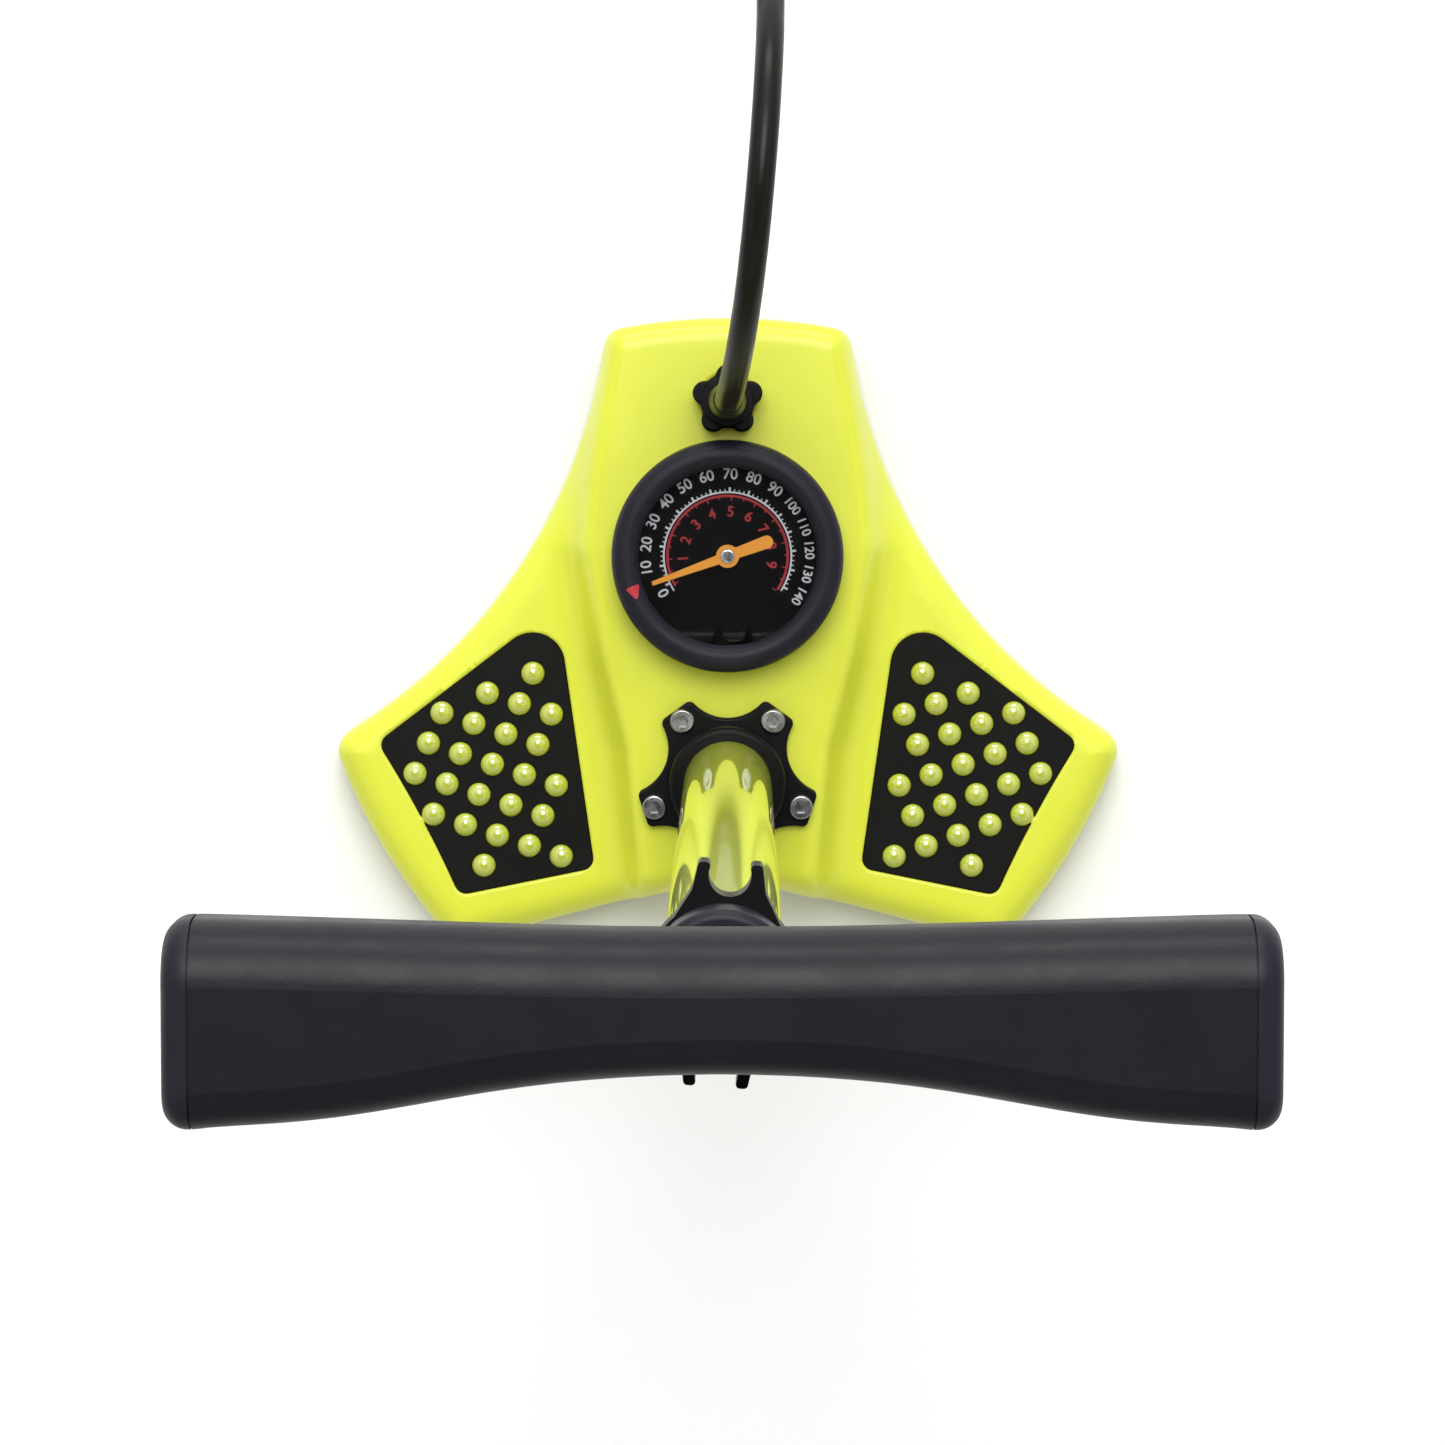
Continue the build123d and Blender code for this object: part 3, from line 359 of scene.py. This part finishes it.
def make_base():
    outline = resampled(flat_outline("base_shell", RIM_Z), 0.0016)
    edge = Nearest(outline)
    side = [Vector((x, y + BARREL_Y)) for x, y in MIDDLE_EDGE]
    middle = side + [Vector((-p.x, p.y)) for p in reversed(side)]
    middle = middle if signed_area(middle) > 0 else middle[::-1]
    middle_edge = Nearest(middle)

    def height(p):
        depth = edge.depth(p)
        low = rounded_edge(depth, LOBE_Z, LOBE_ROUND)
        high = rounded_edge(depth, PLATEAU_Z, LIP_ROUND)
        if p.y < BARREL_Y:
            high = min(high, rear_edge(depth))
        return low + (high - low) * middle_profile(middle_edge.depth(p))

    pocket = moved(resampled(flat_outline("foot_pad_left", POCKET_Z), 0.0012), -0.00018)
    other = [Vector((-p.x, p.y)) for p in reversed(pocket)]
    holes = [pocket, other, circle_loop(0, BARREL_Y, BARREL_HOLE_R, 64),
             circle_loop(0, GAUGE_Y, GAUGE_HOLE_R, 110), circle_loop(0, PORT_Y, PORT_HOLE_R, 40)]
    hole_edges = [Nearest(hole) for hole in holes]
    # Rings that follow the rounded rim and the holes come first, then an even triangular grid.
    edge_turns = (9, 18, 27, 36, 46, 56, 67, 78)
    points = [p for a in edge_turns for p in moved(outline, LOBE_ROUND * (1 - math.cos(math.radians(a))))]
    ring_count = len(points)
    points += [p for hole in holes for p in moved(hole, -0.0012)]
    low, high = [Vector(c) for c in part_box("base_shell")]
    row = 0
    y = low.y
    while y < high.y:
        x = low.x + (GRID / 2 if row % 2 else 0)
        while x < high.x:
            points.append(Vector((x, y)))
            x += GRID
        y += GRID * 0.866
        row += 1
    kept = []
    fixed = outline + [p for hole in holes for p in hole]
    taken = set()
    for i, p in enumerate(points):
        depth = edge.depth(p)
        if depth < 0.00005 or (i >= ring_count and depth < 0.0092):
            continue
        if any(h.depth(p) > -0.0006 for h in hole_edges):
            continue
        cell = (round(p.x / 0.0007), round(p.y / 0.0007)) if i >= ring_count else None
        if cell and cell in taken:
            continue
        taken.add(cell)
        kept.append(p)
    verts = fixed + kept
    edges, start = [], 0
    for loop in [outline] + holes:
        edges += [(start + i, start + (i + 1) % len(loop)) for i in range(len(loop))]
        start += len(loop)
    flat, _, faces, _, _, _ = delaunay_2d_cdt(verts, edges, [], 0, 1e-7)
    mesh = bmesh.new()
    top = [mesh.verts.new((p.x, p.y, height(p))) for p in flat]
    for face in faces:
        centre = sum((flat[i] for i in face), Vector((0, 0))) / len(face)
        if edge.depth(centre) > 0 and all(h.depth(centre) < 0 for h in hole_edges):
            mesh.faces.new([top[i] for i in face])
    rim = [e for e in mesh.edges if e.is_boundary]
    outer = [e for e in rim if edge.depth(Vector(e.verts[0].co[:2])) < 0.0003]
    inner = [e for e in rim if e not in set(outer)]

    def drop(loose, level):
        made = bmesh.ops.extrude_edge_only(mesh, edges=loose)["geom"]
        for v in made:
            if isinstance(v, bmesh.types.BMVert):
                v.co.z = level(v.co)
        return [e for e in made if isinstance(e, bmesh.types.BMEdge)
                and all(w in made for w in e.verts)]

    wall = drop(outer, lambda co: RIM_Z + (co.z - RIM_Z) * 0.5)
    wall = drop(wall, lambda co: RIM_Z + 0.0005)
    drop(wall, lambda co: RIM_Z)
    drop(inner, lambda co: POCKET_Z if abs(co.x) > PAD_SIDE_X else co.z - 0.006)
    bmesh.ops.recalc_face_normals(mesh, faces=mesh.faces)
    data = bpy.data.meshes.new("base_body")
    mesh.to_mesh(data)
    mesh.free()
    return data


def stud_places():
    """Centres of the left tread pad's studs, on a skewed grid."""
    rows = {-3: [2], -2: range(1, 4), -1: range(0, 4), 0: range(0, 5), 1: range(0, 5), 2: range(1, 6), 3: [3]}
    return [((-103.5 + 11.05 * i - 4.7 * j) * MM, (11.8 - 3.65 * i - 10.5 * j) * MM + BARREL_Y)
            for j, columns in rows.items() for i in columns]


def make_studs():
    """Domed studs, a little proud of the pads."""
    radius, top = 0.0041, 0.0023
    cap = (radius**2 + top**2) / (2 * top)
    reach = math.asin(radius / cap)
    profile = [(cap * math.sin(reach * k / 7), LOBE_Z + top - cap + cap * math.cos(reach * k / 7))
               for k in range(1, 8)] + [(radius, POCKET_Z - 0.0003)]
    verts, faces, turns = [], [], 32
    for x, y in stud_places():
        for cx in (x, -x):
            base = len(verts)
            verts.append((cx, y, LOBE_Z + top))
            for r, z in profile:
                verts.extend((cx + polar(r, 360 * k / turns)[0], y + polar(r, 360 * k / turns)[1], z)
                             for k in range(turns))
            faces.extend((base, base + 1 + k, base + 1 + (k + 1) % turns) for k in range(turns))
            for ring in range(len(profile) - 1):
                a = base + 1 + ring * turns
                faces.extend((a + k, a + turns + k, a + turns + (k + 1) % turns, a + (k + 1) % turns)
                             for k in range(turns))
    data = bpy.data.meshes.new("base_studs")
    data.from_pydata(verts, [], faces)
    return data


base_body = add("base_body", make_base(), "root", "lime_plastic")
base_studs = add("base_studs", make_studs(), "root", "lime_plastic", "lime_stud")
for piece in (base_body, base_studs):
    piece.data.shade_smooth()
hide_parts("base_shell")


# ---------------------------------------------------------------- hose
HOSE_R = 4.5 * MM
COIL_X, COIL_Y, COIL_R = 0.0555, 0.300, 0.0495
POINTS_PER_TURN = 24


def hose_points():
    """Control points from the port, over the front edge, round the coil and on to the head."""
    points = [
        (0.0, PORT_Y, 0.0720), (0.0, PORT_Y, 0.1000), (0.0018, 0.0863, 0.1335), (0.0052, 0.1033, 0.1610),
        (0.0084, 0.1270, 0.1800), (0.0112, 0.1565, 0.1860), (0.0132, 0.1855, 0.1770),
        (0.0140, 0.2085, 0.1535), (0.0136, 0.2225, 0.1215), (0.0122, 0.2305, 0.0860),
        (0.0102, 0.2400, 0.0530), (0.0080, 0.2580, 0.0285), (0.0064, 0.2840, 0.0154)]
    for i in range(int(POINTS_PER_TURN * 1.75) + 1):
        angle = math.radians(180 - 360 * i / POINTS_PER_TURN)
        turn = i / POINTS_PER_TURN
        if turn <= 1:
            radius, height = COIL_R, 0.0136 - 0.009 * turn
        else:
            t = (turn - 1) / 0.75
            radius, height = COIL_R + 0.0092 * math.sqrt(2 * t - t * t), 0.0046
        points.append((COIL_X + radius * math.cos(angle), COIL_Y + radius * math.sin(angle), height))
    return points + [(0.0290, 0.2418, 0.0046), (0.0040, 0.2465, 0.0056), (-0.0230, 0.2583, 0.0122),
                     (-0.0480, 0.2700, 0.0122)]


def make_hose():
    curve = bpy.data.curves.new("hose_line", "CURVE")
    curve.dimensions = "3D"
    curve.bevel_depth = HOSE_R
    curve.bevel_resolution = 6
    curve.resolution_u = 10
    curve.use_fill_caps = True
    spline = curve.splines.new("NURBS")
    points = hose_points()
    spline.points.add(len(points) - 1)
    for place, point in zip(points, spline.points):
        point.co = (*place, 1)
    spline.order_u = 3
    spline.use_endpoint_u = True
    hose = add("hose_line", curve, "root", "hose_rubber")
    sleeve = make_sleeve()
    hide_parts("hose", "hose_coil", "hose_end")


def make_sleeve():
    """Tapered sleeve that closes round the barb and follows the start of the hose."""
    low, bend, after = [Vector(p) for p in hose_points()[:3]]
    end = (bend + after) / 2
    steps, turns = 14, 32
    rings = [(low - Vector((0, 0, 0.0019)), 0.0064), (low, 0.0064)]
    for k in range(1, steps + 1):
        t = 0.45 * k / steps
        centre = (1 - t)**2 * low + 2 * t * (1 - t) * bend + t**2 * end
        rings.append((centre, 0.0064 - 0.0015 * k / steps))
    rings.append((rings[-1][0] + Vector((0, 0, 0.0002)), 0.0044))
    verts = [centre + Vector((*polar(r, 360 * i / turns), 0)) for centre, r in rings for i in range(turns)]
    faces = [(a * turns + i, a * turns + (i + 1) % turns, (a + 1) * turns + (i + 1) % turns,
              (a + 1) * turns + i) for a in range(len(rings) - 1) for i in range(turns)]
    data = bpy.data.meshes.new("hose_sleeve")
    data.from_pydata([tuple(v) for v in verts], [], faces)
    data.shade_smooth()
    return add("hose_sleeve", data, "root", "hose_rubber")


make_hose()


# ---------------------------------------------------------------- dial print
GAUGE = (0.0, GAUGE_Y, 0.056)   # middle of the dial's upper face
PRINT_LIFT = 0.00006             # the print stands just off the dial
FIGURE_WEIGHT = 0.00008          # thickens each figure's strokes


def arc_band(verts, faces, inner, outer, start, end, steps=96):
    """Flat curved band between two radii, from one angle to another."""
    base = len(verts)
    for i in range(steps + 1):
        angle = start + (end - start) * i / steps
        verts.append((*polar(inner, angle), 0))
        verts.append((*polar(outer, angle), 0))
    for i in range(steps):
        a = base + 2 * i
        faces.append((a, a + 1, a + 3, a + 2))


def text_mesh(text, size):
    font = bpy.data.curves.new("figure", "FONT")
    font.body = text
    font.size = size
    font.align_x = "CENTER"
    font.align_y = "CENTER"
    font.offset = FIGURE_WEIGHT
    holder = bpy.data.objects.new("figure", font)
    scene.collection.objects.link(holder)
    bpy.context.view_layer.update()
    mesh = bpy.data.meshes.new_from_object(holder.evaluated_get(bpy.context.evaluated_depsgraph_get()))
    bpy.data.objects.remove(holder)
    return mesh


def add_figure(verts, faces, text, size, radius, angle):
    mesh = text_mesh(text, size)
    place = Matrix.Translation((*polar(radius, angle), 0)) @ Matrix.Rotation(math.radians(angle - 90), 4, "Z")
    base = len(verts)
    verts.extend(tuple(place @ v.co) for v in mesh.vertices)
    faces.extend(tuple(base + i for i in p.vertices) for p in mesh.polygons)


def print_piece(name, verts, faces, slot, material):
    mesh = bpy.data.meshes.new(name)
    centre = Vector(GAUGE) + Vector((0, 0, PRINT_LIFT))
    mesh.from_pydata([tuple(Vector(v) + centre) for v in verts], [], faces)
    return add(name, mesh, "root", slot, material)


def make_dial_print():
    verts, faces = [], []
    for step in range(15):
        angle = 205.3 - 16.74 * step
        if step == 0:
            add_figure(verts, faces, "0", 0.0052, 0.0250, 210)
        else:
            add_figure(verts, faces, str(10 * step), 0.0052 if step < 10 else 0.0044, 0.0277, angle)
    arc_band(verts, faces, 0.02135, 0.02195, 213, -33)
    for step in range(57):
        angle = 205.3 - 16.74 * step / 4
        long_tick = step % 4 == 0
        half = 0.9 if long_tick else 0.45
        arc_band(verts, faces, 0.0219, 0.0233 if long_tick else 0.0227, angle + half, angle - half, 2)
    print_piece("dial_figures_outer", verts, faces, "dial_black", "dial_white")
    verts, faces = [], []
    for step in range(1, 10):
        add_figure(verts, faces, str(step), 0.0050, 0.0150, 207.6 - 24.3 * step)
    arc_band(verts, faces, 0.0200, 0.0208, 210, -34)
    for step in range(21):
        angle = 207.6 - 12.15 * step
        arc_band(verts, faces, 0.0188 if step % 2 == 0 else 0.0193, 0.0201, angle + 0.6, angle - 0.6, 2)
    print_piece("dial_figures_inner", verts, faces, "dial_black", "dial_red")


make_dial_print()


# ---------------------------------------------------------------- studio
def make_floor():
    mesh = bpy.data.meshes.new("floor")
    mesh.from_pydata([(-30, -30, 0), (30, -30, 0), (30, 30, 0), (-30, 30, 0)], [], [(0, 1, 2, 3)])
    floor = bpy.data.objects.new("floor", mesh)
    scene.collection.objects.link(floor)
    m = Nodes("floor_white", (0.93, 0.93, 0.93), 0.85, Specular_IOR_Level=0.1)
    mesh.materials.append(m.mat)


def add_light(name, place, target, size, energy):
    light = bpy.data.lights.new(name, "AREA")
    light.shape = "ELLIPSE"
    light.size, light.size_y = size
    light.energy = energy
    lamp = bpy.data.objects.new(name, light)
    lamp.location = place
    lamp.rotation_euler = (Vector(target) - Vector(place)).to_track_quat("-Z", "Y").to_euler()
    scene.collection.objects.link(lamp)


def make_world():
    """White room: brightest at mid height and in front, darker overhead so that dark tops stay dark."""
    world = bpy.data.worlds.new("studio")
    world.use_nodes = True
    tree = world.node_tree
    background = tree.nodes["Background"]
    coords = tree.nodes.new("ShaderNodeTexCoord")
    split = tree.nodes.new("ShaderNodeSeparateXYZ")
    ramp = tree.nodes.new("ShaderNodeValToRGB")
    ramp.color_ramp.interpolation = "EASE"
    stops = ((0.0, 0.40), (0.35, 0.45), (0.62, 0.80), (0.76, 0.60), (0.93, 0.06), (1.0, 0.05))
    while len(ramp.color_ramp.elements) < len(stops):
        ramp.color_ramp.elements.new(0.5)
    for element, (place, level) in zip(ramp.color_ramp.elements, stops):
        element.position = place
        element.color = (level, level, level, 1)
    tree.links.new(coords.outputs["Generated"], split.inputs["Vector"])
    tree.links.new(split.outputs["Z"], ramp.inputs["Fac"])
    tree.links.new(ramp.outputs["Color"], background.inputs["Color"])
    fade = tree.nodes.new("ShaderNodeMapRange")
    for key, value in (("From Min", -1.0), ("From Max", 1.0), ("To Min", 0.75), ("To Max", 2.15)):
        fade.inputs[key].default_value = value
    tree.links.new(split.outputs["Y"], fade.inputs["Value"])
    tree.links.new(fade.outputs["Result"], background.inputs["Strength"])
    scene.world = world


def make_studio():
    make_floor()
    make_world()
    add_light("key", (0.0, 0.84, 2.15), (0, 0.02, 0.05), (1.3, 1.3), 31)
    add_light("front", (0.0, 2.2, 0.9), (0, 0, 0.3), (1.6, 0.5), 18)
    scene.view_settings.view_transform = "Standard"
    scene.view_settings.look = "None"
    scene.view_settings.exposure = 0.0
    scene.view_settings.gamma = 1.0


make_studio()


# ---------------------------------------------------------------- camera
def make_camera():
    place, target = Vector((0.0035, 0.1005, 1.746)), Vector((-0.0019, -0.0332, 0.0))
    back = (place - target).normalized()
    across = Vector((0, 1, 0)).cross(back).normalized()
    up = back.cross(across)
    camera = bpy.data.cameras.new("camera")
    camera.sensor_width = 36.0
    camera.lens = 124.07
    camera.clip_start = 0.05
    holder = bpy.data.objects.new("camera", camera)
    turn = Matrix((across, up, back)).transposed().to_4x4()
    holder.matrix_world = Matrix.Translation(place) @ turn
    scene.collection.objects.link(holder)
    scene.camera = holder


make_camera()
